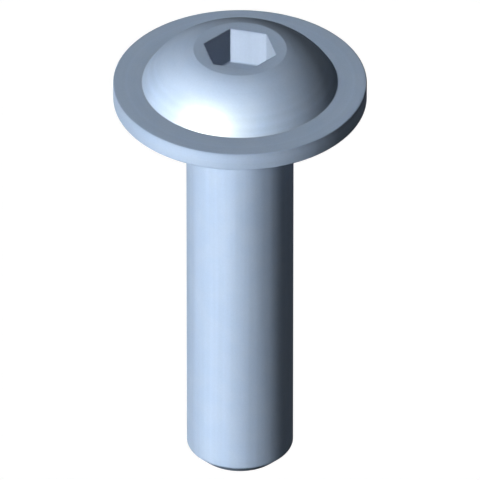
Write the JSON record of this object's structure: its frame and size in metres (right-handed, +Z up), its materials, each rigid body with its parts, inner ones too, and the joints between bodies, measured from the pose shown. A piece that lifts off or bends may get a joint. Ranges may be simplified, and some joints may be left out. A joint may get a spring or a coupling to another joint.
{
  "type": "mushroom head screw",
  "caption": "Mushroom head screw: a low domed head on a round collar, a hexagon socket in the crown and a straight shank with a chamfered tip.",
  "frame": {"origin": "middle of the bearing face under the collar, on the screw's axis", "axes": "+Z up the axis from the shank to the crown, two corners of the hexagon socket on the X axis"},
  "size_m": [0.0118, 0.0118, 0.0227],
  "materials": {
    "zinc_plated_steel": "satin blue-passivated zinc plate"
  },
  "bodies": {
    "root": {"mushroom_head_screw": "zinc_plated_steel"}
  },
  "joints": []
}
